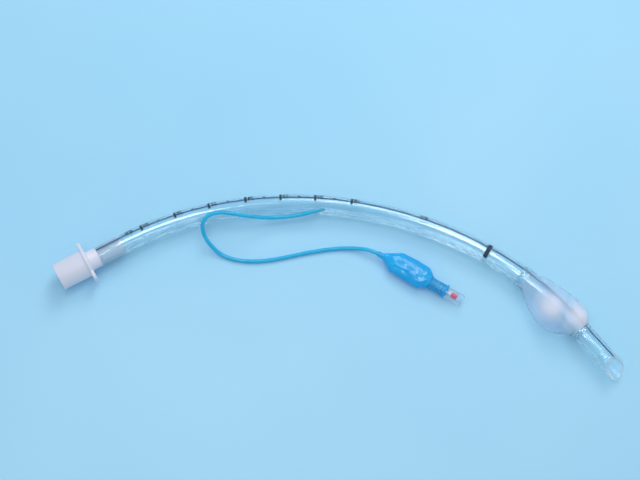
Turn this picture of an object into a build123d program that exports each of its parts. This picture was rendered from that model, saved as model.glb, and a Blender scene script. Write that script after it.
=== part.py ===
from build123d import *
import os
from math import cos, degrees, pi, radians, sin, tan

os.makedirs("parts", exist_ok=True)

# Cuffed endotracheal tube with an 8 mm bore, lying on its side on a table.
# Lengths are in millimetres and angles in degrees.
# The origin is the centre of the connector's open end, and the tube runs from it towards +X.

# Tube: an extruded wall whose straights and arcs all bend the same way
bore = 8.0
wall = 1.45
lead_length = 14.0
throat_length = 78.0
throat_radius = 186.0
middle_length = 136.0
middle_radius = 209.0
cuffed_length = 55.0
cuffed_radius = 160.0
tip_length = 35.0
bevel_angle = 45.0

# Side hole opposite the bevel
eye_length = 9.0
eye_width = 5.6
eye_to_bevel = 15.5

# Blue line moulded into the wall
stripe_width = 1.5
stripe_depth = 0.5
stripe_cover = 0.25
stripe_angle = 64.0

# Air channel in the wall, from the pilot line's seat to a port under the cuff
channel_bore = 0.8
channel_angle = 158.0
port_distance = 267.0

# Connector: male cone, flange, neck and the spigot that the tube is pushed on
cone_length = 16.3
cone_mouth = 15.2
cone_taper = 1 / 40
cone_bore = 12.8
cone_bore_depth = 15.0
funnel_length = 5.0
mouth_round = 0.4
flange_thickness = 2.0
flange_disc = 17.5
flange_span = 23.5
flange_lug = 9.0
flange_round = 0.7
neck_length = 6.1
spigot_length = 14.2
spigot_wall = 0.75

# Cuff: a slack film between two collars
film = 0.25
collar_wall = 0.35
collar_length = 5.0
cuff_start = 246.8
cuff_end = 293.6
# Distance along the tube, then the film's reach inwards of the bend, outwards, up and down
cuff_shape = [
    (257.5, 9.6, 7.6, 6.6, 6.3),
    (263.0, 12.8, 8.6, 7.4, 6.8),
    (269.5, 13.9, 8.9, 7.9, 7.0),
    (276.0, 11.8, 7.8, 7.4, 6.9),
    (281.5, 8.6, 7.0, 6.9, 6.6),
    (285.5, 7.4, 9.2, 7.6, 6.4),
]
widest_row = 2

# Pilot line: x, y and height over the table of each point of its route
line_diameter = 2.2
line_route = [
    (139.5, -35.7, 7.9),
    (131.6, -33.0, 6.7),
    (123.2, -29.2, 5.8),
    (116.6, -26.3, 7.2),
    (110.3, -23.6, 10.8),
    (104.2, -20.7, 14.8),
    (98.6, -16.8, 16.8),
    (93.4, -13.0, 16.8),
    (86.9, -11.0, 16.0),
    (82.1, -12.8, 13.2),
    (80.2, -17.7, 8.8),
    (80.9, -23.7, 4.3),
    (83.8, -30.6, 1.15),
    (88.6, -36.4, 1.15),
    (95.6, -41.6, 1.15),
    (104.6, -46.2, 1.15),
    (115.4, -49.8, 1.15),
    (128.0, -53.7, 1.15),
    (141.2, -58.8, 1.15),
    (150.5, -64.3, 1.9),
    (157.6, -70.4, 4.0),
    (161.1, -76.5, 4.0),
]
line_end_length = 7.2
line_end_diameter = 0.9

# Pilot balloon, measured from its neck along its own axis
balloon_neck = (159.6, -73.9)
balloon_heading = -60.4
balloon_film = 0.35
neck_length_on_line = 3.5
sleeve_start = 33.0
sleeve_length = 10.0
lip_length = 0.9
lip_height = 0.55
# Distance from the neck, then the pouch's reach to the left, to the right and up
pouch_shape = [
    (6.5, 3.3, 3.2, 2.1),
    (10.5, 5.8, 5.7, 3.0),
    (14.5, 6.8, 6.2, 3.5),
    (21.5, 7.4, 6.5, 3.7),
    (27.5, 7.0, 6.2, 3.8),
    (30.5, 5.4, 4.7, 3.7),
]

# Valve in the balloon's sleeve, measured outwards from the sleeve's end
valve_diameter = 6.1
valve_reach = 10.1
valve_depth = 12.4
valve_wall = 0.65
luer_mouth = 4.3
luer_taper = 6 / 100
web_outside = 0.9
web_inside = -2.2
web_hole = 2.4
head_diameter = 2.7
head_start = 2.4
head_length = 4.1
stem_diameter = 1.5
seal_diameter = 4.1
seal_thickness = 1.0
disc_diameter = 3.7
disc_thickness = 0.6
guide_length = 2.6
spring_wire = 0.36
spring_diameter = 3.0
spring_turns = 6
plug_thickness = 1.8
plug_bore = 1.5

# Clearances
bonded_gap = 0.05
resting_gap = 0.02

tube_radius = bore / 2 + wall
channel_middle = bore / 2 + wall / 2
connector_length = cone_length + flange_thickness + neck_length
tube_stretches = [
    (lead_length, None),
    (throat_length, throat_radius),
    (middle_length, middle_radius),
    (cuffed_length, cuffed_radius),
    (tip_length, None),
]
tube_length = sum(length for length, radius in tube_stretches)


def ahead(place, step, radius):
    # A place's X points to the outside of the bend, its Y up and its Z along the tube.
    if radius is None:
        return Plane(place.origin + place.z_dir * step, x_dir=place.x_dir, z_dir=place.z_dir)
    turn = step / radius
    outwards = place.x_dir * cos(turn) + place.z_dir * sin(turn)
    along = place.z_dir * cos(turn) - place.x_dir * sin(turn)
    middle_of_turn = place.origin - place.x_dir * radius
    return Plane(middle_of_turn + outwards * radius, x_dir=outwards, z_dir=along)


def station(distance):
    # The place at this distance along the tube from its machine end.
    place = Plane(origin=(connector_length, 0, 0), x_dir=(0, 1, 0), z_dir=(1, 0, 0))
    for length, radius in tube_stretches:
        step = min(distance, length)
        place = ahead(place, step, radius)
        distance -= step
    return ahead(place, distance, None)


def follow(section, start, end):
    # The solid that a flat section makes as it follows the tube between two distances.
    solid = Part()
    passed = 0
    for length, radius in tube_stretches[:-1] + [(end, None)]:
        low = max(start, passed)
        high = min(end, passed + length)
        passed += length
        if high <= low:
            continue
        place = station(low)
        if radius is None:
            solid += extrude(place * section, amount=high - low)
        else:
            turning = Axis(place.origin - place.x_dir * radius, (0, 0, -1))
            turn = degrees((high - low) / radius)
            solid += revolve(place * section, axis=turning, revolution_arc=turn)
    return solid


def spot(angle, radius):
    # A spot in the tube's section: 0 degrees is the outside of the bend and 90 is up.
    return Pos(radius * cos(radians(angle)), radius * sin(radians(angle))) * Rot(0, 0, angle)


def lying_place():
    # The tube leans until its flange, the middle of its bend and its cuff all touch the table.
    flange_foot = Vector(cone_length + flange_thickness / 2, 0, -flange_disc / 2)
    distance, inwards, outwards, up, down = cuff_shape[widest_row]
    cuff_foot = (station(distance) * Pos((outwards - inwards) / 2, -down)).position
    bend = [station(d).origin - Vector(0, 0, tube_radius) for d in range(int(cuff_start))]
    ups = [(cuff_foot - flange_foot).cross(foot - flange_foot).normalized() for foot in bend]
    up_dir = max(ups, key=lambda up: up.Z)
    forwards = Vector(0, 1, 0).cross(up_dir).normalized()
    table = flange_foot.dot(up_dir)
    return Plane((0, 0, 0), x_dir=forwards, z_dir=up_dir).location.inverse(), table


lying, table_height = lying_place()
line_points = [Vector(x, y, table_height + height) for x, y, height in line_route]


def beyond_bevel():
    # The block that is cut away past the bevel, whose face looks up.
    tip = station(tube_length)
    lean = radians(bevel_angle)
    away = tip.z_dir * sin(lean) + Vector(0, 0, 1) * cos(lean)
    size = 6 * tube_radius
    face = Plane(tip.origin, x_dir=tip.x_dir, z_dir=away)
    return face * Box(size, size, size, align=(Align.CENTER, Align.CENTER, Align.MIN))


def make_stripe():
    past_bevel = tube_length + tube_radius / tan(radians(bevel_angle))
    middle = tube_radius - stripe_cover - stripe_depth / 2
    section = spot(stripe_angle, middle) * Rectangle(stripe_depth, stripe_width)
    return follow(section, 0, past_bevel) - beyond_bevel()


def make_tube(stripe):
    past_bevel = tube_length + tube_radius / tan(radians(bevel_angle))
    tube = follow(Circle(tube_radius) - Circle(bore / 2), 0, past_bevel)
    tube = tube - beyond_bevel()
    middle = station(tube_length - eye_to_bevel)
    eye = Plane(middle.origin, x_dir=middle.z_dir, z_dir=(0, 0, -1))
    tube = tube - extrude(eye * SlotOverall(eye_length, eye_width), amount=2 * tube_radius)

    channel = spot(channel_angle, channel_middle) * Circle(channel_bore / 2)
    port = station(port_distance - channel_bore) * spot(channel_angle, channel_middle) * Rot(0, 90, 0)
    hole = Cylinder(channel_bore / 2, wall, align=(Align.CENTER, Align.CENTER, Align.MIN))
    return tube - stripe - follow(channel, seat_distance(), port_distance) - port * hole


def seat_distance():
    # How far along the tube the pilot line's first point is.
    mouth = (Location(lying.inverse()) * Pos(*line_points[0])).position
    return min(range(int(tube_length)), key=lambda d: (station(d).origin - mouth).length)


def line_end(gap):
    # The line's end is necked down to fit in the wall. With a gap this is the notch that holds it.
    mouth = line_points[0]
    leaving = line_points[1] - mouth
    inwards = Plane(mouth, z_dir=-leaving.normalized())
    thick = line_diameter / 2 + gap
    thin = line_end_diameter / 2 + gap
    low = (Align.CENTER, Align.CENTER, Align.MIN)
    necked = inwards * Cone(thick, thin, line_end_length, align=low)
    if gap == 0:
        return necked
    return necked + inwards * Pos(0, 0, -leaving.length) * Cylinder(thick, leaving.length, align=low)


def line_radii():
    radii = []
    for before, here, after in zip(line_points, line_points[1:], line_points[2:]):
        half_turn = radians((here - before).get_angle(after - here)) / 2
        shorter = min((here - before).length, (after - here).length)
        radii.append(0.45 * shorter / tan(half_turn))
    return radii


def make_pilot_line():
    radii = line_radii()
    path = FilletPolyline(*line_points, radius=radii)
    start = Plane(path @ 0, z_dir=path % 0)
    tube = sweep(start * Circle(line_diameter / 2), path=path)
    expected = pi * line_diameter**2 / 4 * path.length
    print("pilot line: length", round(path.length, 1), "smallest radius", round(min(radii), 1))
    print("pilot line: radii", [round(r, 1) for r in radii])
    print("pilot line: volume", round(tube.volume, 1), "section times length", round(expected, 1))
    return tube + line_end(0)


def make_connector():
    cone_base = cone_mouth / 2 + cone_length * cone_taper / 2
    spigot_radius = bore / 2 - bonded_gap
    spigot_end = connector_length + spigot_length
    profile = Polyline(
        (0, 0),
        (0, cone_mouth / 2),
        (cone_length, cone_base),
        (cone_length, tube_radius),
        (connector_length - resting_gap, tube_radius),
        (connector_length - resting_gap, spigot_radius),
        (spigot_end, spigot_radius),
        (spigot_end, 0),
        close=True,
    )
    body = revolve(make_face(profile), axis=Axis.X)
    outline = Circle(flange_disc / 2) + RectangleRounded(flange_span, flange_lug, flange_lug / 4)
    across = Plane(origin=(cone_length, 0, 0), x_dir=(0, 1, 0), z_dir=(1, 0, 0))
    flange = extrude(across * outline, flange_thickness)
    faces_across = flange.edges().group_by(Axis.X)
    flange = fillet(faces_across[0] + faces_across[-1], flange_round)
    hollow = Polyline(
        (0, 0),
        (0, cone_bore / 2),
        (cone_bore_depth, cone_bore / 2),
        (cone_bore_depth + funnel_length, spigot_radius - spigot_wall),
        (spigot_end, spigot_radius - spigot_wall),
        (spigot_end, 0),
        close=True,
    )
    body = body + flange - revolve(make_face(hollow), axis=Axis.X)
    return fillet(body.edges().group_by(Axis.X)[0], mouth_round)


def make_cuff():
    collar = tube_radius + bonded_gap + collar_wall

    def balloon(thickness):
        round_section = Circle(collar - thickness)
        start = [cuff_start + collar_length / 2, cuff_start + collar_length]
        sections = [station(d) * round_section for d in start]
        for distance, inwards, outwards, up, down in cuff_shape:
            place = station(distance) * Pos((outwards - inwards) / 2, (up - down) / 2)
            across = (inwards + outwards) / 2 - thickness
            upright = (up + down) / 2 - thickness
            sections.append(place * Ellipse(across, upright))
        end = [cuff_end - collar_length, cuff_end - collar_length / 2]
        return loft(sections + [station(d) * round_section for d in end])

    collars = follow(Circle(collar), cuff_start, cuff_start + collar_length)
    collars += follow(Circle(collar), cuff_end - collar_length, cuff_end)
    tube = follow(Circle(tube_radius + bonded_gap), cuff_start - wall, cuff_end + wall)
    return balloon(0) - balloon(film) + collars - tube


def along_balloon(distance):
    # The balloon's own frame: X runs from its neck to the valve, Z is up.
    middle = table_height + valve_diameter / 2 + bonded_gap + balloon_film + lip_height
    heading = radians(balloon_heading)
    x, y = balloon_neck
    axis = Vector(cos(heading), sin(heading), 0)
    return Plane(Vector(x, y, middle) + axis * distance, x_dir=Vector(0, 0, 1).cross(axis), z_dir=axis)


def make_balloon():
    neck = line_diameter / 2 + bonded_gap
    sleeve = valve_diameter / 2 + bonded_gap
    sleeve_end = sleeve_start + sleeve_length

    def layer(grow, overrun):
        sections = [along_balloon(neck_length_on_line) * Circle(neck + grow)]
        for distance, left, right, up in pouch_shape:
            place = along_balloon(distance) * Pos((left - right) / 2, 0)
            width = (left + right) / 2 - balloon_film + grow
            sections.append(place * Ellipse(width, up - balloon_film + grow))
        sections.append(along_balloon(sleeve_start) * Circle(sleeve + grow))
        solid = loft(sections)
        solid += extrude(along_balloon(-overrun) * Circle(neck + grow), neck_length_on_line + overrun)
        solid += extrude(along_balloon(sleeve_start) * Circle(sleeve + grow), sleeve_length + overrun)
        return solid

    lip = along_balloon(sleeve_end - lip_length) * Circle(sleeve + balloon_film + lip_height)
    return layer(balloon_film, 0) + extrude(lip, lip_length) - layer(0, 1)


def on_valve(points):
    # The round solid whose outline is given as distances out from the sleeve's end, and radii.
    place = along_balloon(sleeve_start + sleeve_length)
    upright = Plane(place.origin, x_dir=place.x_dir, z_dir=place.x_dir.cross(place.z_dir))
    outline = make_face(Polyline(*[(radius, distance) for distance, radius in points], close=True))
    return revolve(upright * outline, axis=Axis(place.origin, place.z_dir))


def make_valve():
    outside = valve_diameter / 2
    chamber = outside - valve_wall
    luer_foot = luer_mouth / 2 - (valve_reach - web_outside) * luer_taper / 2
    housing = on_valve([
        (-valve_depth, chamber),
        (-valve_depth, outside),
        (valve_reach, outside),
        (valve_reach, luer_mouth / 2),
        (web_outside, luer_foot),
        (web_outside, web_hole / 2),
        (web_inside, web_hole / 2),
        (web_inside, chamber),
    ])
    seal_top = web_inside - resting_gap
    disc_top = seal_top - seal_thickness
    spring_top = disc_top - disc_thickness
    stem = stem_diameter / 2
    plunger = on_valve([
        (head_start + head_length, 0),
        (head_start + head_length, head_diameter / 2),
        (head_start, head_diameter / 2),
        (head_start, stem),
        (disc_top, stem),
        (disc_top, disc_diameter / 2),
        (spring_top, disc_diameter / 2),
        (spring_top, stem),
        (spring_top - guide_length, stem),
        (spring_top - guide_length, 0),
    ])
    seal = on_valve([
        (seal_top, stem + resting_gap),
        (seal_top, seal_diameter / 2),
        (disc_top, seal_diameter / 2),
        (disc_top, stem + resting_gap),
    ])
    plug_top = plug_thickness - valve_depth
    plug = on_valve([
        (plug_top, plug_bore / 2),
        (plug_top, chamber - bonded_gap),
        (-valve_depth, chamber - bonded_gap),
        (-valve_depth, plug_bore / 2),
    ])
    return housing, plunger, seal, plug, spring_top, plug_top


def make_spring(top, foot):
    height = top - foot - spring_wire - 2 * resting_gap
    base = along_balloon(sleeve_start + sleeve_length + foot + resting_gap + spring_wire / 2)
    coil = base * Helix(height / spring_turns, height, (spring_diameter - spring_wire) / 2)
    return sweep(Plane(coil @ 0, z_dir=coil % 0) * Circle(spring_wire / 2), path=coil)


stripe = make_stripe()
tube = lying * make_tube(stripe) - line_end(bonded_gap)
housing, plunger, seal, plug, spring_top, plug_top = make_valve()

nodes = {
    "tube": tube,
    "radiopaque_line": lying * stripe,
    "connector": lying * make_connector(),
    "cuff": lying * make_cuff(),
    "pilot_line": make_pilot_line(),
    "pilot_balloon": make_balloon(),
    "valve_housing": housing,
    "valve_plunger": plunger,
    "valve_seal": seal,
    "valve_spring": make_spring(spring_top, plug_top),
    "valve_plug": plug,
}

print("table height", round(table_height, 3))
for name, shape in nodes.items():
    export_step(shape, "parts/" + name + ".step")
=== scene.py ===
from math import atan2, copysign, cos, exp, pi, radians, sin

import bmesh
import bpy
from mathutils import Matrix, Vector, noise


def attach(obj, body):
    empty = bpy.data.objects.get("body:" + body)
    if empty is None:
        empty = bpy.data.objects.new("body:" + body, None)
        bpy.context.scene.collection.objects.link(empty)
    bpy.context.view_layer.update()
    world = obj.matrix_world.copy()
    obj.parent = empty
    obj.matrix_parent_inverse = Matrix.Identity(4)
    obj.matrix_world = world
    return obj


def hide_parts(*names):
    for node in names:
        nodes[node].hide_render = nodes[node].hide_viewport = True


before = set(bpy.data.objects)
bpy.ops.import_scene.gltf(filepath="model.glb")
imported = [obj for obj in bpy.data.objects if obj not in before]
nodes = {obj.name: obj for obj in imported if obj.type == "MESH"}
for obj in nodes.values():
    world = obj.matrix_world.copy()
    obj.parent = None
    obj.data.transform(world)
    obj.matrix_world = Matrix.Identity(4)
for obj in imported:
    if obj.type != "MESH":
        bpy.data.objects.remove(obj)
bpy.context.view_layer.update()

tableHeight = -9.332  # everything below is in millimetres, and becomes metres in makePiece
print("frame loaded:", len(nodes), "nodes")


# Camera and light come first.
cameraSetup = {
    "place": (40.9, -216.1, 580.3),
    "target": (136.1, -49.8, -9.3),
    "lens": 62.1,
    "sensor": 36,
    "clipStart": 10,
}
lamps = {  # those without a target hang level, and their turn is in plan
    "leftBox": {"place": (103, 120, 900), "turn": -11, "size": (95, 340), "watts": 0.75},
    "rightBox": {"place": (425, 100, 900), "turn": 33, "size": (480, 95), "watts": 1.1},
    "cuffBox": {"place": (-190, -185, 900), "turn": 20, "size": (300, 70), "watts": 0.6},
    "keyBox": {
        "place": (620, 420, 700), "target": (130, -60, 0), "size": (420, 420), "watts": 2.4,
    },
}
room = {
    "floorSize": 2400,
    "floorMiddle": (120, -60),
    "sky": (0.80, 0.90, 1.0),
    "skyStrength": 0.55,
    "shown": (0.56, 0.83, 0.98),  # what the camera, gloss and clear pieces see past the floor
    "bounces": 24,  # clear walls pass light many times
}


def aim(thing, place, target):
    thing.location = Vector(place) / 1000
    thing.rotation_euler = (Vector(target) - Vector(place)).to_track_quat("-Z", "Y").to_euler()
    bpy.context.scene.collection.objects.link(thing)


def makeCamera():
    camera = bpy.data.objects.new("camera", bpy.data.cameras.new("camera"))
    camera.data.lens = cameraSetup["lens"]
    camera.data.sensor_width = cameraSetup["sensor"]
    camera.data.clip_start = cameraSetup["clipStart"] / 1000
    aim(camera, cameraSetup["place"], cameraSetup["target"])
    bpy.context.scene.camera = camera


def makeLamps():
    for name, lamp in lamps.items():
        data = bpy.data.lights.new(name, "AREA")
        data.shape = "RECTANGLE"
        data.size = lamp["size"][0] / 1000
        data.size_y = lamp["size"][1] / 1000
        data.energy = lamp["watts"]
        lampObject = bpy.data.objects.new(name, data)
        if "target" in lamp:
            aim(lampObject, lamp["place"], lamp["target"])
        else:
            aim(lampObject, lamp["place"], (*lamp["place"][:2], 0))
            lampObject.rotation_euler = (0, 0, radians(lamp["turn"]))


def largerOf(tree, first, second):
    node = tree.nodes.new("ShaderNodeMath")
    node.operation = "MAXIMUM"
    tree.links.new(first, node.inputs[0])
    tree.links.new(second, node.inputs[1])
    return node.outputs[0]


def makeWorld():
    scene = bpy.context.scene
    scene.world = bpy.data.worlds.new("paleRoom")
    scene.world.use_nodes = True
    tree = scene.world.node_tree
    light = tree.nodes["Background"]
    light.inputs["Color"].default_value = (*room["sky"], 1)
    light.inputs["Strength"].default_value = room["skyStrength"]
    shown = tree.nodes.new("ShaderNodeBackground")
    shown.inputs["Color"].default_value = (*room["shown"], 1)
    rays = tree.nodes.new("ShaderNodeLightPath")
    anyRay = rays.outputs["Is Camera Ray"]
    for name in ("Is Glossy Ray", "Is Transmission Ray"):
        anyRay = largerOf(tree, anyRay, rays.outputs[name])
    mix = tree.nodes.new("ShaderNodeMixShader")
    tree.links.new(anyRay, mix.inputs["Fac"])
    tree.links.new(light.outputs[0], mix.inputs[1])
    tree.links.new(shown.outputs[0], mix.inputs[2])
    tree.links.new(mix.outputs[0], tree.nodes["World Output"].inputs["Surface"])
    scene.view_settings.view_transform = "Standard"
    scene.cycles.max_bounces = room["bounces"]
    scene.cycles.transmission_bounces = room["bounces"]
    scene.cycles.transparent_max_bounces = room["bounces"]


makeCamera()
makeLamps()
makeWorld()
print("camera and lamps placed")


# Materials. Beside the shader's own sockets, "varied" lists a socket, the scale of a cloud and the
# two values it wanders between, and "bump" gives the scale of a cloud, a strength and a height.
# Scales and heights are for coordinates in metres. Where alpha is under 1, light slips past.
clearWall = {
    "Base Color": (0.80, 0.92, 0.97, 1),
    "Transmission Weight": 1.0,
    "IOR": 1.42,
    "Coat Weight": 1.0,
    "Coat IOR": 1.65,
    "Coat Roughness": 0.03,
    "varied": [("Roughness", 60, 0.03, 0.06)],
}
finishes = {
    "clearVinyl": {**clearWall, "Alpha": 0.6},
    "seatedVinyl": clearWall,
    "cutVinyl": {
        "Base Color": (0.80, 0.80, 0.92, 1),
        "Roughness": 0.5,
        "Transmission Weight": 0.4,
        "IOR": 1.3,
        "varied": [("Alpha", 900, 0.35, 0.5)],
    },
    "lineBlue": {
        "Roughness": 0.45,
        "varied": [("Base Color", 500, (0.003, 0.04, 0.17), (0.008, 0.065, 0.25))],
    },
    "milkyPlastic": {
        "Roughness": 0.30,
        "Transmission Weight": 0.12,
        "IOR": 1.49,
        "Subsurface Weight": 0.3,
        "Subsurface Radius": (0.004, 0.004, 0.005),
        "varied": [("Base Color", 90, (0.84, 0.84, 0.98), (0.90, 0.88, 1.0))],
        "bump": (1500, 0.08, 0.00005),
    },
    "cuffFilm": {
        "Roughness": 0.5,
        "IOR": 1.15,
        "bump": (300, 0.15, 0.0003),
    },
    "pilotBlue": {
        "Roughness": 0.22,
        "Transmission Weight": 0.2,
        "IOR": 1.45,
        "varied": [("Base Color", 150, (0.005, 0.52, 0.84), (0.03, 0.60, 0.92))],
    },
    "balloonBlue": {
        "Roughness": 0.2,
        "IOR": 1.4,
        "Alpha": 0.8,
        "Coat Weight": 0.3,
        "Coat IOR": 1.7,
        "Coat Roughness": 0.08,
        "varied": [("Base Color", 110, (0.0, 0.45, 0.95), (0.0, 0.51, 1.0))],
        "bump": (330, 0.06, 0.0002),
    },
    "sleeveBlue": {
        "Roughness": 0.2,
        "IOR": 1.4,
        "Alpha": 0.4,
        "varied": [("Base Color", 150, (0.0, 0.43, 0.90), (0.0, 0.50, 0.96))],
    },
    "valveClear": {
        "Base Color": (0.94, 0.94, 1.0, 1),
        "Transmission Weight": 1.0,
        "IOR": 1.42,
        "Alpha": 0.45,
        "varied": [("Roughness", 400, 0.02, 0.07)],
    },
    "plungerRed": {
        "Roughness": 0.35,
        "varied": [("Base Color", 600, (0.88, 0.04, 0.09), (0.95, 0.07, 0.13))],
    },
    "sealRubber": {
        "Roughness": 0.5,
        "varied": [("Base Color", 900, (0.012, 0.014, 0.025), (0.03, 0.035, 0.055))],
        "bump": (2500, 0.1, 0.00003),
    },
    "springSteel": {
        "Roughness": 0.28,
        "Metallic": 1.0,
        "varied": [("Base Color", 900, (0.45, 0.47, 0.50), (0.62, 0.64, 0.68))],
        "bump": (2500, 0.1, 0.00003),
    },
    "plugWhite": {
        "Roughness": 0.4,
        "varied": [("Base Color", 900, (0.78, 0.80, 0.86), (0.88, 0.90, 0.95))],
        "bump": (2500, 0.1, 0.00003),
    },
    "markingInk": {
        "Roughness": 0.55,
        "varied": [("Base Color", 1400, (0.004, 0.008, 0.02), (0.015, 0.035, 0.07))],
    },
    "floorPaint": {
        "Roughness": 0.75,
        "varied": [("Base Color", 3.0, (0.36, 0.70, 0.93), (0.45, 0.78, 0.97))],
    },
}
cloudDetail = 3.0
cloudSpan = (0.3, 0.7)  # the part of a cloud's range that counts


def addNode(material, kind, **values):
    node = material.node_tree.nodes.new(kind)
    for name, value in values.items():
        node.inputs[name].default_value = value
    return node


def addCloud(material, scale):
    # A noise on the piece's own coordinates.
    place = addNode(material, "ShaderNodeTexCoord")
    cloud = addNode(material, "ShaderNodeTexNoise", Scale=scale, Detail=cloudDetail)
    material.node_tree.links.new(place.outputs["Object"], cloud.inputs["Vector"])
    return cloud.outputs["Fac"]


def vary(material, socket, source, low, high, span):
    # Moves a colour or a number of the shader between two values.
    links = material.node_tree.links
    target = material.node_tree.nodes["Principled BSDF"].inputs[socket]
    if socket == "Base Color":
        ramp = addNode(material, "ShaderNodeValToRGB")
        for element, position, colour in zip(ramp.color_ramp.elements, span, (low, high)):
            element.position = position
            element.color = (*colour, 1)
        links.new(source, ramp.inputs["Fac"])
        links.new(ramp.outputs["Color"], target)
    else:
        node = addNode(material, "ShaderNodeMapRange")
        node.inputs["From Min"].default_value, node.inputs["From Max"].default_value = span
        node.inputs["To Min"].default_value = low
        node.inputs["To Max"].default_value = high
        links.new(source, node.inputs["Value"])
        links.new(node.outputs["Result"], target)


def makeFinish(name, finish):
    material = bpy.data.materials.new(name)
    material.use_nodes = True
    links = material.node_tree.links
    shader = material.node_tree.nodes["Principled BSDF"]
    for key, value in finish.items():
        if key == "varied":
            for socket, scale, low, high in value:
                vary(material, socket, addCloud(material, scale), low, high, cloudSpan)
        elif key == "bump":
            scale, strength, height = value
            bump = addNode(material, "ShaderNodeBump", Strength=strength, Distance=height)
            links.new(addCloud(material, scale), bump.inputs["Height"])
            links.new(bump.outputs["Normal"], shader.inputs["Normal"])
        else:
            shader.inputs[key].default_value = value
    return material


filmLumpAndPaintedHighlight = {  # the cuff's film is thin and bluish; the first spot whitens it at a gathered lump, partly thicker film and partly painted sheen, and the second is a painted highlight of the tube seen blurred through the film
    # the middle of each spot, and where its whitening is full and where it ends, in metres
    "lumpAndHighlightSpots": [((0.2328, -0.1600, 0.003), 0.001, 0.013), ((0.2230, -0.1480, 0.006), 0.0, 0.013)],
    "Base Color": ((0.88, 0.90, 1.0), (1.0, 0.95, 1.0)),  # thin, then whitened at the lump and at the painted highlight
    "Alpha": (0.26, 0.75),
    "Transmission Weight": (0.75, 0.3),
}


# Whitens the film at a gathered lump, with painted sheen, and paints a highlight where the tube
# shows through the film.
def whitenFilm(material):
    links = material.node_tree.links
    place = addNode(material, "ShaderNodeTexCoord")
    whitest = None
    for middle, core, reach in filmLumpAndPaintedHighlight["lumpAndHighlightSpots"]:
        away = addNode(material, "ShaderNodeVectorMath")
        away.operation = "DISTANCE"
        away.inputs[1].default_value = middle
        links.new(place.outputs["Object"], away.inputs[0])
        near = addNode(material, "ShaderNodeMapRange")
        near.interpolation_type = "SMOOTHSTEP"
        near.inputs["From Min"].default_value = reach
        near.inputs["From Max"].default_value = core
        links.new(away.outputs["Value"], near.inputs["Value"])
        white = near.outputs["Result"]
        whitest = largerOf(material.node_tree, whitest, white) if whitest else white
    for socket in ("Base Color", "Alpha", "Transmission Weight"):
        vary(material, socket, whitest, *filmLumpAndPaintedHighlight[socket], (0, 1))


looks = {name: makeFinish(name, finish) for name, finish in finishes.items()}
whitenFilm(looks["cuffFilm"])
print("materials made:", len(looks))


# The tube, and the line that its middle follows.
tube = {
    "bore": 8.0,
    "outside": 10.9,
    "startsAt": 24.4,
    # length and radius of each; the last one runs on past the tip
    "stretches": [(14, None), (78, 186), (136, 209), (55, 160), (1e6, None)],
    "length": 318,
    "leansTo": (0.034324, 0.036833, 0.998732),  # the tube's own up, in the row frame
    "bevelAngle": 45,
    "eye": (9.0, 5.6, 15.5),  # length, width, middle to bevel
    "channel": {"angle": 158, "radius": 4.725, "bore": 0.8, "from": 131, "to": 267},
    "sides": 72,
    "step": 2.5,
    "rim": 0.35,
}
stripe = {"angle": 64, "width": 0.9, "depth": 0.5, "cover": 0.25}


def leaning():
    up = Vector(tube["leansTo"]).normalized()
    forwards = Vector((0, 1, 0)).cross(up).normalized()
    return Matrix((forwards, up.cross(forwards), up)).transposed().to_4x4()


def standing(origin, across, along):
    # X to the outside of the bend, Y up, Z along the tube.
    up = along.cross(across)
    place = Matrix((across, up, along)).transposed().to_4x4()
    place.translation = origin
    return place


def headings(turned):
    return Vector((cos(turned), -sin(turned), 0)), Vector((sin(turned), cos(turned), 0))


def station(distance):
    # The place of the tube's middle at a distance from its start.
    origin, turned = Vector((tube["startsAt"], 0, 0)), 0.0
    for length, radius in tube["stretches"]:
        step = min(distance, length)
        along, across = headings(turned)
        if radius is None:
            origin = origin + along * step
        else:
            turned += step / radius
            origin = origin - across * radius
            along, across = headings(turned)
            origin = origin + across * radius
        distance -= step
        if distance <= 0:
            break
    return leaning() @ standing(origin, across, along)


def onTube(distance, angle, radius):
    around = radians(angle)
    return station(distance) @ Vector((radius * cos(around), radius * sin(around), 0))


# What every piece is made with.
sharpAngle = 40
weld = 0.001  # vertices closer than this are one
weldRounded = 0.002  # after rounding, which leaves some a little further apart


def makePiece(bm, name, look, body="airway"):
    bmesh.ops.transform(bm, matrix=Matrix.Scale(0.001, 4), verts=bm.verts)
    mesh = bpy.data.meshes.new(name)
    bm.to_mesh(mesh)
    bm.free()
    mesh.polygons.foreach_set("use_smooth", [True] * len(mesh.polygons))
    mesh.materials.append(looks[look])
    piece = bpy.data.objects.new(name, mesh)
    bpy.context.scene.collection.objects.link(piece)
    if body:
        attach(piece, body)
    return piece


def addSkin(piece, name, thickness, offset):
    skin = piece.modifiers.new(name, "SOLIDIFY")
    skin.thickness = thickness / 1000
    skin.offset = offset


def finalMesh(thing):
    bpy.context.view_layer.update()
    evaluated = thing.evaluated_get(bpy.context.evaluated_depsgraph_get())
    return bpy.data.meshes.new_from_object(evaluated)


def joinMeshes(bm, other):
    mesh = bpy.data.meshes.new("joined")
    other.to_mesh(mesh)
    other.free()
    bm.from_mesh(mesh)
    bpy.data.meshes.remove(mesh)
    return bm


def sharpen(bm):
    for edge in bm.edges:
        edge.smooth = len(edge.link_faces) != 2 or edge.calc_face_angle(0) < radians(sharpAngle)


def ofKind(geometry, kind):
    return [g for g in geometry if isinstance(g, kind)]


def everything(bm):
    return bm.verts[:] + bm.edges[:] + bm.faces[:]


def ringEdges(verts):
    own = set(verts)
    return list({e for v in verts for e in v.link_edges if e.other_vert(v) in own})


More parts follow.
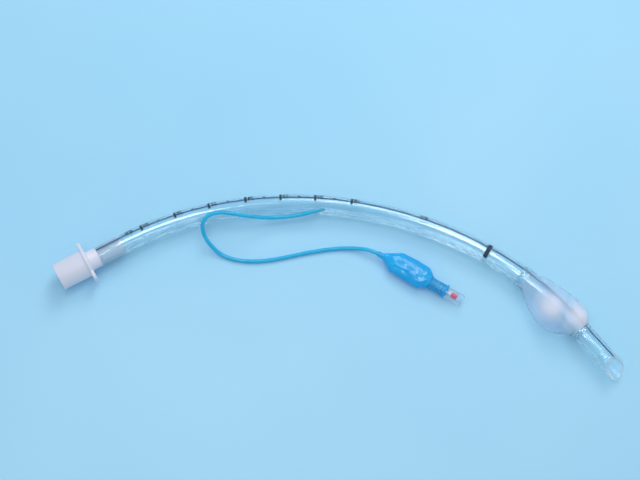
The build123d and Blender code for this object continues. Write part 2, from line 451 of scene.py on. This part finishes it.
def carryAlong(bm, edges, start, end):
    # Sweeps a ring of edges along the tube between two distances.
    passed = 0
    for length, radius in tube["stretches"]:
        low, high = max(start, passed), min(end, passed + length)
        passed += length
        if high <= low:
            continue
        place = station(low)
        across, up, along, origin = (place.col[i].to_3d() for i in range(4))
        if radius is None:
            grown = bmesh.ops.extrude_edge_only(bm, edges=edges)["geom"]
            verts = ofKind(grown, bmesh.types.BMVert)
            bmesh.ops.translate(bm, verts=verts, vec=along * (high - low))
            edges = ringEdges(verts)
        else:
            grown = bmesh.ops.spin(
                bm,
                geom=edges + list({v for e in edges for v in e.verts}),
                cent=origin - across * radius,
                axis=-up,
                angle=(high - low) / radius,
                steps=max(2, round((high - low) / tube["step"])),
            )["geom_last"]
            edges = ofKind(grown, bmesh.types.BMEdge)
    return edges


def spinProfile(points, place, steps):
    # Turns an outline of (distance, radius) points about the place's Z.
    bm = bmesh.new()
    verts = [bm.verts.new(place @ Vector((radius, 0, distance))) for distance, radius in points]
    edges = [bm.edges.new(pair) for pair in zip(verts, verts[1:] + verts[:1])]
    bmesh.ops.spin(
        bm,
        geom=verts + edges,
        cent=place.translation,
        axis=place.col[2].to_3d(),
        angle=2 * pi,
        steps=steps,
        use_merge=True,
    )
    bmesh.ops.remove_doubles(bm, verts=bm.verts, dist=weld)
    bmesh.ops.delete(bm, geom=[e for e in bm.edges if not e.link_faces], context="EDGES")
    bmesh.ops.recalc_face_normals(bm, faces=bm.faces)
    return bm


def roundEdges(bm, offset, angle=50, segments=2):
    shared = [e for e in bm.edges if len(e.link_faces) == 2]
    bmesh.ops.bevel(
        bm,
        geom=[e for e in shared if e.calc_face_angle(0) > radians(angle)],
        offset=offset,
        segments=segments,
        profile=0.5,
        affect="EDGES",
        material=-1,
        clamp_overlap=True,
    )
    bmesh.ops.remove_doubles(bm, verts=bm.verts, dist=weldRounded)
    bmesh.ops.recalc_face_normals(bm, faces=bm.faces)


def blendRows(rows, distance):
    # Smooth values between the rows of a table whose first column is a distance.
    if distance <= rows[0][0]:
        return rows[0][1:]
    for i in range(len(rows) - 1):
        if distance <= rows[i + 1][0]:
            break
    here, after = rows[i], rows[i + 1]
    before, beyond = rows[max(i - 1, 0)], rows[min(i + 2, len(rows) - 1)]
    span = after[0] - here[0]
    t = min((distance - here[0]) / span, 1)
    values = []
    for a, b, c, d in zip(before[1:], here[1:], after[1:], beyond[1:]):
        leave = (c - a) / (after[0] - before[0]) * span
        arrive = (d - b) / (beyond[0] - here[0]) * span
        values.append(
            b * (2 * t**3 - 3 * t**2 + 1) + leave * (t**3 - 2 * t**2 + t)
            + c * (3 * t**2 - 2 * t**3) + arrive * (t**3 - t**2)
        )
    return values


def growRings(bm, rings, sides):
    # Rings are matrices that carry a unit circle. Each is drawn from the one before it.
    verts = bmesh.ops.create_circle(bm, segments=sides, radius=1, matrix=rings[0])["verts"]
    edges = ringEdges(verts)
    for before, ring in zip(rings, rings[1:]):
        grown = bmesh.ops.extrude_edge_only(bm, edges=edges)["geom"]
        verts = ofKind(grown, bmesh.types.BMVert)
        bmesh.ops.transform(bm, matrix=ring @ before.inverted(), verts=verts)
        edges = ringEdges(verts)
    return edges


def ringAt(place, x, y, halfWidth, halfHeight):
    return place @ Matrix.Translation((x, y, 0)) @ Matrix.Diagonal((halfWidth, halfHeight, 1, 1))


# The tube's wall, with its bevel, its side eye and its air channel.
def bevelPlane():
    tip = station(tube["length"])
    lean = radians(tube["bevelAngle"])
    upright = leaning() @ Vector((0, 0, 1))
    return tip.translation, tip.col[2].to_3d() * sin(lean) + upright * cos(lean)


def cutAtBevel(bm):
    point, away = bevelPlane()
    cut = bmesh.ops.bisect_plane(
        bm, geom=everything(bm), plane_co=point, plane_no=away, clear_outer=True
    )["geom_cut"]
    return ofKind(cut, bmesh.types.BMEdge)


def closeEnd(bm, verts, place):
    # Joins the outer and the inner loop of an end, by their angle round the tube.
    turn = radians(2)  # so that rounding can't put a loop's first vertex last
    nearInner = 0.1
    loops = [[], []]
    spots = {v: place.inverted() @ v.co for v in verts}
    smallest = min(spot.xy.length for spot in spots.values())
    for v, spot in spots.items():
        angle = (atan2(spot.y, spot.x) + turn) % (2 * pi)
        loops[spot.xy.length < smallest + nearInner].append((angle, v))
    outer, inner = ([v for _, v in sorted(loop, key=lambda item: item[0])] for loop in loops)
    for i in range(len(outer)):
        bm.faces.new((outer[i - 1], outer[i], inner[i], inner[i - 1]))


def carryPair(bm, radii, sides, start, end):
    # Sweeps an outer and an inner circle along the tube.
    first, last = [], []
    for radius in radii:
        verts = bmesh.ops.create_circle(
            bm, segments=sides, radius=radius, matrix=station(start)
        )["verts"]
        first += verts
        last += carryAlong(bm, ringEdges(verts), start, end)
    return first, last


def makeTubeWall():
    bm = bmesh.new()
    radii = (tube["outside"] / 2, tube["bore"] / 2)
    mouth, _ = carryPair(bm, radii, tube["sides"], 0, tube["length"] + tube["outside"])
    tipEdges = cutAtBevel(bm)
    closeEnd(bm, mouth, station(0))
    closeEnd(bm, [v for e in tipEdges for v in e.verts], station(tube["length"]))
    bmesh.ops.recalc_face_normals(bm, faces=bm.faces)
    roundEdges(bm, tube["rim"], angle=30, segments=3)
    return bm


def makeEyeCutter():
    length, width, back = tube["eye"]
    place = station(tube["length"] - back)
    down = -(leaning() @ Vector((0, 0, 1)))
    facing = Matrix((place.col[2].to_3d(), -place.col[0].to_3d(), down)).transposed().to_4x4()
    facing.translation = place.translation
    bm = bmesh.new()
    verts = bmesh.ops.create_circle(bm, cap_ends=True, segments=40, radius=width / 2)["verts"]
    for v in verts:
        v.co.x += copysign((length - width) / 2, v.co.x)
    grown = bmesh.ops.extrude_face_region(bm, geom=bm.faces[:])["geom"]
    bmesh.ops.translate(bm, verts=ofKind(grown, bmesh.types.BMVert), vec=(0, 0, tube["outside"]))
    bmesh.ops.transform(bm, matrix=facing, verts=bm.verts)
    bmesh.ops.recalc_face_normals(bm, faces=bm.faces)
    return bm


def withHole(piece, cutterBm):
    # Cuts the hole and keeps the result as the piece's own mesh.
    cutter = makePiece(cutterBm, "eyeCutter", "clearVinyl")
    hole = piece.modifiers.new("eye", "BOOLEAN")
    hole.operation = "DIFFERENCE"
    hole.solver = "EXACT"
    hole.object = cutter
    shape = finalMesh(piece)
    piece.modifiers.clear()
    piece.data = shape
    bpy.data.objects.remove(cutter)


def addChannel(piece):
    # The channel is a hollow in the wall, so its faces look inwards. The piece is in metres here.
    channel = tube["channel"]
    bm = bmesh.new()
    place = station(channel["from"]) @ Matrix.Rotation(radians(channel["angle"]), 4, "Z")
    place = place @ Matrix.Translation((channel["radius"], 0, 0))
    verts = bmesh.ops.create_circle(
        bm, cap_ends=True, segments=12, radius=channel["bore"] / 2, matrix=place
    )["verts"]
    end = carryAlong(bm, ringEdges(verts), channel["from"], channel["to"])
    bmesh.ops.holes_fill(bm, edges=end, sides=0)
    bmesh.ops.recalc_face_normals(bm, faces=bm.faces)
    bmesh.ops.reverse_faces(bm, faces=bm.faces)
    bmesh.ops.transform(bm, matrix=Matrix.Scale(0.001, 4), verts=bm.verts)
    bm.from_mesh(piece.data)
    sharpen(bm)
    for face in bm.faces:
        face.smooth = True
    bm.to_mesh(piece.data)
    bm.free()


def paintWall(piece):
    # The knife leaves the bevel's own face dull, and over the spigot no light slips past the wall.
    point, away = bevelPlane()
    piece.data.materials.append(looks["cutVinyl"])
    piece.data.materials.append(looks["seatedVinyl"])
    seated = tube["startsAt"] + tube["stretches"][0][0]
    for polygon in piece.data.polygons:
        near = abs((polygon.center * 1000 - point).dot(away)) < tube["rim"]
        if near and polygon.normal.dot(away) > 0.5:
            polygon.material_index = 1
        elif polygon.center.x * 1000 < seated:
            polygon.material_index = 2


tubeWall = makePiece(makeTubeWall(), "tubeWall", "clearVinyl")
withHole(tubeWall, makeEyeCutter())
addChannel(tubeWall)
paintWall(tubeWall)
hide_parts("tube")
print("tube wall made:", len(tubeWall.data.polygons), "faces")


def makeStripe():
    half = stripe["depth"] / 2
    drawnOut = (stripe["width"] - stripe["depth"]) / 2
    middle = tube["outside"] / 2 - stripe["cover"] - half
    place = station(0) @ Matrix.Rotation(radians(stripe["angle"]), 4, "Z")
    place = place @ Matrix.Translation((middle, 0, 0))
    bm = bmesh.new()
    verts = bmesh.ops.create_circle(bm, cap_ends=True, segments=16, radius=1)["verts"]
    for v in verts:  # a round that is drawn out to a strip with rounded edges
        v.co.x *= half
        v.co.y = v.co.y * half + copysign(drawnOut, v.co.y)
    bmesh.ops.transform(bm, matrix=place, verts=bm.verts)
    carryAlong(bm, ringEdges(verts), 0, tube["length"] + tube["outside"])
    bmesh.ops.holes_fill(bm, edges=cutAtBevel(bm), sides=0)
    bmesh.ops.recalc_face_normals(bm, faces=bm.faces)
    sharpen(bm)
    return bm


blueLine = makePiece(makeStripe(), "blueLine", "lineBlue")
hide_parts("radiopaque_line")
print("moulded line made")


# Print on the tube: a number and a bar for each 2 cm, dots between them, and a ring.
marks = {
    "bars": {30: 27.4, 28: 46.8, 26: 66.1, 24: 86.5, 22: 105.9, 20: 125.1, 18: 145.4},
    "barAngle": 54,  # degrees round from the outside of the bend
    "barReach": 33,
    "barWidth": 1.3,
    "wordAngle": 48,
    "wordGap": 1.2,
    "wordSize": 4.16,
    "wordScale": (0.85, 1.5),
    "wordWeight": 0.1,
    "sizeMarks": (18.0, 184.0),
    "dotAngle": 58,
    "dotShift": 0.5,
    "dot": 0.95,
    "ring": (225.4, 2.4, -50, 136),  # distance, width, from and to angle
    "proud": 0.012,
    "thickness": 0.03,
    "slices": (7, 0.4),  # on each side of a word's middle, and their width
}


def layOnTube(bm, distance, angle):
    # Flat shapes are drawn with X along the tube and Y round it.
    radius = tube["outside"] / 2 + marks["proud"]
    for v in bm.verts:
        around = angle + v.co.y / radius * 180 / pi
        v.co = onTube(distance + v.co.x, around, radius)


def flatBar(width, height, rows):
    bm = bmesh.new()
    bmesh.ops.create_grid(bm, x_segments=3, y_segments=rows, size=0.5)
    bmesh.ops.scale(bm, vec=(width, height, 1), verts=bm.verts)
    return bm


def flatDot(size):
    bm = bmesh.new()
    bmesh.ops.create_circle(bm, cap_ends=True, segments=3, radius=size)
    turn = Matrix.Rotation(radians(-60), 3, "Z")
    bmesh.ops.rotate(bm, cent=(0, 0, 0), matrix=turn, verts=bm.verts)
    return bm


def flatWord(word):
    # X along the tube and Y round it face inwards, so the number is drawn mirrored.
    curve = bpy.data.curves.new("word", "FONT")
    curve.body = word
    curve.size = marks["wordSize"]
    curve.align_x = "RIGHT"
    curve.align_y = "CENTER"
    curve.resolution_u = 3
    curve.offset = marks["wordWeight"]
    letters = bpy.data.objects.new("word", curve)
    bpy.context.scene.collection.objects.link(letters)
    mesh = finalMesh(letters)
    bpy.data.objects.remove(letters)
    bm = bmesh.new()
    bm.from_mesh(mesh)
    bpy.data.meshes.remove(mesh)
    along, around = marks["wordScale"]
    bmesh.ops.scale(bm, vec=(-along, around, 1), verts=bm.verts)
    slices, width = marks["slices"]
    for i in range(-slices, slices + 1):  # so that the letters can bend round the tube
        bmesh.ops.bisect_plane(
            bm, geom=everything(bm), plane_co=(0, i * width, 0), plane_no=(0, 1, 0)
        )
    return bm


def addPrint(total, bm, distance, angle):
    layOnTube(bm, distance, angle)
    bm.normal_update()
    middle = station(distance).translation
    wrong = [f for f in bm.faces if f.normal.dot(f.calc_center_median() - middle) < 0]
    bmesh.ops.reverse_faces(bm, faces=wrong)
    joinMeshes(total, bm)


def makeMarks():
    total = bmesh.new()
    radius = tube["outside"] / 2
    reach = radians(2 * marks["barReach"]) * radius
    places = sorted(marks["bars"].values())
    for number, distance in marks["bars"].items():
        addPrint(total, flatBar(marks["barWidth"], reach, 16), distance, marks["barAngle"])
        addPrint(total, flatWord(str(number)), distance + marks["wordGap"], marks["wordAngle"])
    for before, after in zip(places, places[1:]):
        middle = (before + after) / 2 + marks["dotShift"]
        addPrint(total, flatDot(marks["dot"]), middle, marks["dotAngle"])
    for distance in marks["sizeMarks"]:
        addPrint(total, flatWord("8.0"), distance, marks["wordAngle"])
    distance, width, low, high = marks["ring"]
    addPrint(total, flatBar(width, radians(high - low) * radius, 48), distance, (low + high) / 2)
    return total


depthMarks = makePiece(makeMarks(), "depthMarks", "markingInk")
addSkin(depthMarks, "coat", marks["thickness"], 1)
print("print made:", len(depthMarks.data.polygons), "faces")


# The connector, from its open end to its spigot.
connector = {
    "cone": 16.3,
    "mouth": 15.2,
    "taper": 1 / 40,
    "bore": 12.8,
    "boreDepth": 15.0,
    "funnel": 5.0,
    "hub": (0.3, 1.7, 0.5),  # start and end after the cone, and rise
    "fillet": (2.0, 2.8, 0.6),  # start and end after the cone, and rise
    "neck": 6.1,
    "spigot": 14.2,
    "spigotWall": 0.75,
    "pressed": 0.02,  # how far the tube's wall and end take in the spigot and shoulder
    "round": 0.2,
    "flange": {
        "thickness": 2.0, "disc": 17.5, "span": 23.5, "lug": 9.0, "round": 0.6, "overlap": 0.4,
    },
}


def connectorPlace():
    # Z runs along the connector from its open end.
    return leaning() @ standing(Vector((0, 0, 0)), Vector((0, 1, 0)), Vector((1, 0, 0)))


def makeConnector():
    cone, mouth, bore = connector["cone"], connector["mouth"] / 2, connector["bore"] / 2
    base = mouth + cone * connector["taper"] / 2
    hubStart, hubEnd, hubRise = connector["hub"]
    filletStart, filletEnd, filletRise = connector["fillet"]
    neck = tube["outside"] / 2
    pressed = connector["pressed"]
    shoulder = cone + connector["flange"]["thickness"] + connector["neck"] - pressed
    end = shoulder + connector["spigot"]
    spigot = tube["bore"] / 2 + pressed
    inner = spigot - connector["spigotWall"]
    depth = connector["boreDepth"]
    bm = spinProfile(
        [
            (0, mouth), (cone, base), (cone + hubStart, base + hubRise),
            (cone + hubEnd, base + hubRise), (cone + filletStart, neck + filletRise),
            (cone + filletEnd, neck), (shoulder, neck), (shoulder, spigot), (end, spigot),
            (end, inner), (depth + connector["funnel"], inner), (depth, bore), (0, bore),
        ],
        connectorPlace(),
        steps=96,
    )
    roundEdges(bm, connector["round"], angle=45)
    sharpen(bm)
    return bm


def makeFlange():
    flange = connector["flange"]
    inner = connector["mouth"] / 2 - flange["overlap"]
    quarter = flange["lug"] / 4
    bm = bmesh.new()
    verts = bmesh.ops.create_circle(bm, segments=96, radius=flange["disc"] / 2)["verts"]
    for v in verts:  # two opposite arcs of the disc are drawn out to lugs with round corners
        if abs(v.co.y) < flange["lug"] / 2:
            corner = max(0, abs(v.co.y) - quarter)
            reach = flange["span"] / 2 - (corner / quarter) ** 2 * flange["lug"] / 6
            v.co.x = copysign(reach, v.co.x)
    hole = bmesh.ops.create_circle(bm, segments=96, radius=inner)["verts"]
    bmesh.ops.bridge_loops(bm, edges=ringEdges(verts) + ringEdges(hole))
    grown = bmesh.ops.extrude_face_region(bm, geom=bm.faces[:])["geom"]
    top = ofKind(grown, bmesh.types.BMVert)
    bmesh.ops.translate(bm, verts=top, vec=(0, 0, flange["thickness"]))
    bmesh.ops.recalc_face_normals(bm, faces=bm.faces)
    roundEdges(bm, flange["round"], segments=3)
    place = connectorPlace() @ Matrix.Translation((0, 0, connector["cone"]))
    bmesh.ops.transform(bm, matrix=place, verts=bm.verts)
    sharpen(bm)
    return bm


moulding = joinMeshes(makeConnector(), makeFlange())
connectorBody = makePiece(moulding, "connectorBody", "milkyPlastic")
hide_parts("connector")
print("connector made")


# The cuff: the slack film, and the collars that it is bonded by.
cuff = {
    "from": 246.8,
    "to": 293.6,
    "collar": 5.0,
    "collarRise": (0.40, 0.03),  # over the tube, outside and inside
    "collarRound": 0.1,
    "film": 0.22,
    # distance, then the film's reach inwards of the bend, outwards, up and down
    "shape": [
        (249.3, 5.85, 5.85, 5.85, 5.85),
        (251.8, 6.2, 5.9, 5.9, 5.9),
        (254.8, 7.6, 6.2, 6.1, 6.1),
        (260.0, 11.4, 7.8, 6.8, 6.6),
        (268.8, 14.4, 9.4, 7.8, 7.6),
        (277.8, 14.6, 10.6, 8.4, 7.6),
        (283.0, 12.4, 10.4, 8.0, 7.4),
        (286.6, 8.6, 9.4, 7.6, 7.0),
        (289.2, 5.9, 7.6, 6.6, 6.2),
        (291.1, 5.85, 5.85, 5.85, 5.85),
    ],
    "rings": 90,
    "sides": 120,
    "gathers": [(0.10, 0.08), (0.80, 0.10)],  # share of the length, and spread
    "free": 0.08,  # share of the length in which the film comes free of a collar
    "pleats": (0.2, 11, 4),  # depth, and how many fine and broad ones lie round the cuff
    "dents": (0.25, 0.16),  # depth, and scale of their noise
    "sunk": 0.1,
}


def puckerFilm(bm, places):
    # Fine pleats gather at the collars and round the waist, and soft dents lie between them.
    first, last = places[0][0], places[-1][0]
    depth, fine, broad = cuff["pleats"]
    dentDepth, dentScale = cuff["dents"]
    for v in bm.verts:
        distance, place = min(places, key=lambda item: (v.co - item[1].translation).length)
        local = place.inverted() @ v.co
        around = Vector((local.x, local.y, 0)).normalized()
        share = (distance - first) / (last - first)
        gather = sum(exp(-((share - at) / spread) ** 2) for at, spread in cuff["gathers"])
        free = min(1, share / cuff["free"], (1 - share) / cuff["free"])
        angle = Vector((1, 0)).angle_signed(Vector((around.x, around.y)), 0)
        wander = 3 * sin(share * 9)  # the fine pleats swing from side to side
        pleat = sin(angle * fine + wander) * sin(angle * broad + 1)
        dent = noise.noise(v.co * dentScale + Vector((3, 0, 0)))
        rise = depth * gather * pleat + dentDepth * dent - cuff["sunk"]
        v.co += (place.to_3x3() @ around) * free * rise
        v.co.z = max(v.co.z, tableHeight)


def makeCuff():
    rows = cuff["shape"]
    span = rows[-1][0] - rows[0][0]
    distances = [rows[0][0] + span * i / cuff["rings"] for i in range(cuff["rings"] + 1)]
    places = [(d, station(d)) for d in distances]
    rings = []
    for distance, place in places:
        inwards, outwards, up, down = blendRows(rows, distance)
        x, y = (outwards - inwards) / 2, (up - down) / 2
        rings.append(ringAt(place, x, y, (inwards + outwards) / 2, (up + down) / 2))
    bm = bmesh.new()
    growRings(bm, rings, cuff["sides"])
    puckerFilm(bm, places)
    bmesh.ops.recalc_face_normals(bm, faces=bm.faces)
    return bm


def makeCollar(start):
    radii = [tube["outside"] / 2 + rise for rise in cuff["collarRise"]]
    end = start + cuff["collar"]
    bm = bmesh.new()
    near, far = carryPair(bm, radii, tube["sides"], start, end)
    closeEnd(bm, near, station(start))
    closeEnd(bm, [v for e in far for v in e.verts], station(end))
    bmesh.ops.recalc_face_normals(bm, faces=bm.faces)
    roundEdges(bm, cuff["collarRound"])
    sharpen(bm)
    return bm


cuffBalloon = makePiece(makeCuff(), "cuffBalloon", "cuffFilm")
addSkin(cuffBalloon, "film", cuff["film"], -1)
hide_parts("cuff")
collars = joinMeshes(makeCollar(cuff["from"]), makeCollar(cuff["to"] - cuff["collar"]))
cuffCollars = makePiece(collars, "cuffCollars", "clearVinyl")
print("cuff made")


# The pilot line, a free limp cord from the tube's wall to the balloon.
pilotLine = {
    "diameter": 2.2,
    "route": [  # x, y and height over the table
        (139.5, -35.7, 7.9), (131.6, -33.0, 6.7), (123.2, -29.2, 5.8), (116.6, -26.3, 7.2),
        (110.3, -23.6, 10.8), (104.2, -20.7, 14.8), (98.6, -16.8, 16.8), (93.4, -13.0, 16.8),
        (86.9, -11.0, 16.0), (82.1, -12.8, 13.2), (80.2, -17.7, 8.8), (80.9, -23.7, 4.3),
        (83.8, -30.6, 1.15), (88.6, -36.4, 1.15), (95.6, -41.6, 1.15), (104.6, -46.2, 1.15),
        (115.4, -49.8, 1.15), (128.0, -53.7, 1.15), (141.2, -58.8, 1.15), (150.5, -64.3, 1.9),
        (157.6, -70.4, 4.0), (161.1, -76.5, 4.0),
    ],
    # the necked end's outline, as distance into the wall and radius
    "necked": [(-0.6, 0), (-0.6, 1.1), (0.4, 1.1), (6.9, 0.49), (7.2, 0.315), (7.2, 0)],
}


def routePoints():
    return [Vector((x, y, tableHeight + height)) for x, y, height in pilotLine["route"]]


def makePilotLine():
    points = routePoints()
    curve = bpy.data.curves.new("pilotCord", "CURVE")
    curve.dimensions = "3D"
    curve.bevel_depth = pilotLine["diameter"] / 2000
    curve.bevel_resolution = 6
    curve.use_fill_caps = True
    spline = curve.splines.new("NURBS")
    spline.points.add(len(points) - 1)
    for control, point in zip(spline.points, points):
        control.co = (*(point / 1000), 1)
    spline.order_u = 3
    spline.use_endpoint_u = True
    spline.resolution_u = 12
    curve.materials.append(looks["pilotBlue"])
    cord = bpy.data.objects.new("pilotCord", curve)
    bpy.context.scene.collection.objects.link(cord)
    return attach(cord, "airway")


def makeLineEnd():
    # The line's necked end, seated in the wall.
    points = routePoints()
    inwards = (points[0] - points[1]).normalized()
    across = inwards.cross(Vector((0, 0, 1))).normalized()
    bm = spinProfile(pilotLine["necked"], standing(points[0], across, inwards), steps=32)
    sharpen(bm)
    return bm


pilotCord = makePilotLine()
lineEnd = makePiece(makeLineEnd(), "lineEnd", "pilotBlue")
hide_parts("pilot_line")
print("pilot line laid")


# The pilot balloon, with its sleeve and lip round the valve.
balloon = {
    "neck": (159.6, -73.9),
    "middle": 4.0,  # height over the table
    "heading": -60.4,
    "film": 0.35,
    "sleeveStart": 33.0,
    "sleeveEnd": 43.0,
    # the lip's outline, as distance past the sleeve's end and radius
    "lip": [
        (-1.2, 3.35), (-0.9, 3.55), (-0.8, 3.85), (-0.54, 4.0), (-0.15, 4.0), (0, 3.85),
        (0, 3.1), (-0.5, 3.06), (-1.2, 3.06),
    ],
    # distance from the neck, then the reach to the left, to the right and up
    "shape": [
        (0.0, 1.5, 1.5, 1.5),
        (2.5, 1.55, 1.55, 1.55),
        (3.6, 2.3, 1.7, 1.7),
        (6.8, 4.2, 3.3, 2.3),
        (9.4, 5.8, 5.2, 2.8),
        (10.6, 6.5, 5.5, 3.0),
        (11.6, 7.1, 5.6, 3.1),
        (12.8, 7.3, 5.7, 3.3),
        (20.0, 7.6, 6.1, 3.6),
        (26.5, 7.4, 6.3, 3.8),
        (28.0, 7.35, 6.1, 3.8),
        (29.2, 7.0, 5.2, 3.8),
        (31.5, 5.2, 4.1, 3.7),
        (33.4, 3.7, 3.6, 3.5),
        (35.0, 3.45, 3.45, 3.45),
        (42.1, 3.45, 3.45, 3.45),
    ],
    "pressed": (5, 33, 0.3),  # the stretch of film with ridges, and the lowest that has them
    "puckers": (0.18, 0.35),  # height, and scale of their noise
    # ridges pressed in the film: the ends (distance, leftwards), height and width
    "ridges": [
        ((13.0, 3.9), (30.0, 3.2), 0.30, 0.5),
        ((14.0, 2.6), (29.0, 2.2), 0.22, 0.5),
        ((8.0, -3.2), (12.0, -1.6), 0.28, 0.6),
        ((12.0, -1.6), (19.0, -1.3), 0.35, 0.55),
        ((19.0, -1.3), (22.5, -2.6), 0.35, 0.6),
        ((27.5, 1.0), (33.0, 1.6), 0.30, 0.5),
    ],
    # a flat facet of the film: its corners (distance, leftwards), height at the first and normal
    "facet": {
        "corners": ((24.8, -0.4), (31.2, -0.9), (27.2, -4.6)),
        "height": 3.25,
        "normal": (-0.142, 0.089, 0.986),
    },
    "sides": 96,
    "rings": 100,
}


def alongBalloon(distance):
    heading = radians(balloon["heading"])
    axis = Vector((cos(heading), sin(heading), 0))
    origin = Vector((*balloon["neck"], tableHeight + balloon["middle"])) + axis * distance
    return standing(origin, Vector((0, 0, 1)).cross(axis), axis)


def insideFacet(spot):
    corners = [Vector(c) for c in balloon["facet"]["corners"]]
    turns = [(b - a).cross(spot - a) for a, b in zip(corners, corners[1:] + corners[:1])]
    return all(t > 0 for t in turns) or all(t < 0 for t in turns)


def facetHeight(point):
    facet = balloon["facet"]
    distance, leftwards = facet["corners"][0]
    corner = alongBalloon(distance) @ Vector((leftwards, facet["height"], 0))
    normal = Vector(facet["normal"])
    away = point - corner
    return corner.z - (away.x * normal.x + away.y * normal.y) / normal.z


def pressRidges(bm):
    toBalloon = alongBalloon(0).inverted()
    near, far, lowest = balloon["pressed"]
    pucker, scale = balloon["puckers"]
    for v in bm.verts:
        local = toBalloon @ v.co
        if local.y < lowest or not near < local.z < far:
            continue
        spot = Vector((local.z, local.x))
        fade = min(1, local.y / 2)
        for start, end, height, width in balloon["ridges"]:
            start, end = Vector(start), Vector(end)
            run = end - start
            t = min(max((spot - start).dot(run) / run.length_squared, 0), 1)
            away = (spot - start - run * t).length
            v.co.z += height * exp(-(away / width) ** 2) * fade
        v.co.z += pucker * noise.noise(v.co * scale) * fade
        if insideFacet(spot):
            v.co.z = facetHeight(v.co)


def makeBalloon():
    rows = balloon["shape"]
    count = balloon["rings"]
    rings = []
    for i in range(count + 1):
        distance = rows[-1][0] * i / count
        left, right, up = blendRows(rows, distance)
        rings.append(ringAt(alongBalloon(distance), (left - right) / 2, 0, (left + right) / 2, up))
    bm = bmesh.new()
    growRings(bm, rings, balloon["sides"])
    pressRidges(bm)
    bmesh.ops.recalc_face_normals(bm, faces=bm.faces)
    toBalloon = alongBalloon(0).inverted()
    for face in bm.faces:
        if (toBalloon @ face.calc_center_median()).z > balloon["sleeveStart"] - 0.5:
            face.material_index = 1
    return bm


pilotBalloon = makePiece(makeBalloon(), "pilotBalloon", "balloonBlue")
pilotBalloon.data.materials.append(looks["sleeveBlue"])
addSkin(pilotBalloon, "film", balloon["film"], -1)
lip = spinProfile(balloon["lip"], alongBalloon(balloon["sleeveEnd"]), steps=80)
balloonLip = makePiece(lip, "balloonLip", "balloonBlue")
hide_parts("pilot_balloon")
print("balloon made")


# The spring valve. Its distances are from the sleeve's end, and grow towards the luer mouth.
valve = {
    "diameter": 6.1,
    "reach": 10.1,
    "depth": 12.4,
    "wall": 0.65,
    "mouth": 4.3,
    "taper": 0.06,
    "web": (0.9, -2.2),  # its two faces
    "hole": 2.4,
    "housingRound": 0.12,
    "head": (2.4, 6.5, 2.7, 0.2),  # start, end, diameter and chamfer
    "redFrom": 3.0,
    "stem": 1.5,
    "disc": (-3.22, -3.82, 3.7),
    "guideEnd": -6.42,
    "plungerRound": 0.05,
}


def valvePlace():
    return alongBalloon(balloon["sleeveEnd"])


def makeHousing():
    outside = valve["diameter"] / 2
    chamber = outside - valve["wall"]
    web, under = valve["web"]
    foot = valve["mouth"] / 2 - (valve["reach"] - web) * valve["taper"] / 2
    bm = spinProfile(
        [
            (-valve["depth"], chamber), (-valve["depth"], outside), (valve["reach"], outside),
            (valve["reach"], valve["mouth"] / 2), (web, foot), (web, valve["hole"] / 2),
            (under, valve["hole"] / 2), (under, chamber),
        ],
        valvePlace(),
        steps=80,
    )
    roundEdges(bm, valve["housingRound"])
    sharpen(bm)
    return bm


def makePlunger(low, high):
    # The outline between two distances, so that the head and the stem can differ in colour.
    start, end, diameter, chamfer = valve["head"]
    head, stem = diameter / 2, valve["stem"] / 2
    top, bottom, disc = valve["disc"]
    outline = [
        (end, 0), (end, head - chamfer), (end - chamfer, head), (start, head), (start, stem),
        (top, stem), (top, disc / 2), (bottom, disc / 2), (bottom, stem),
        (valve["guideEnd"], stem), (valve["guideEnd"], 0),
    ]
    points = []
    for (distance, radius), (after, _) in zip(outline, outline[1:] + [(low - 1, 0)]):
        if low <= distance <= high:
            points.append((distance, radius))
        points += [(cut, radius) for cut in (high, low) if after < cut < distance]
    for place in (0, len(points)):  # each end closes on the axis
        end = points[min(place, len(points) - 1)]
        if end[1] > 0:
            points.insert(place, (end[0], 0))
    bm = spinProfile(points, valvePlace(), steps=64)
    roundEdges(bm, valve["plungerRound"])
    sharpen(bm)
    return bm


housing = makePiece(makeHousing(), "valveBody", "valveClear")
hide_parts("valve_housing")
red = makePlunger(valve["redFrom"], valve["head"][1])
white = makePlunger(valve["guideEnd"], valve["redFrom"])
plungerHead = makePiece(red, "plungerHead", "plungerRed", "plunger")
plungerStem = makePiece(white, "plungerStem", "plugWhite", "plunger")
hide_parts("valve_plunger")
for node, look in {
    "valve_seal": "sealRubber",
    "valve_spring": "springSteel",
    "valve_plug": "plugWhite",
}.items():
    nodes[node].data.materials.clear()
    nodes[node].data.materials.append(looks[look])

print("valve made")


# The floor is staged, and is no part of the object.
def makeFloor():
    bm = bmesh.new()
    bmesh.ops.create_grid(bm, x_segments=2, y_segments=2, size=room["floorSize"] / 2)
    bmesh.ops.translate(bm, verts=bm.verts, vec=(*room["floorMiddle"], tableHeight))
    makePiece(bm, "floor", "floorPaint", body=None)


makeFloor()
print("scene done")
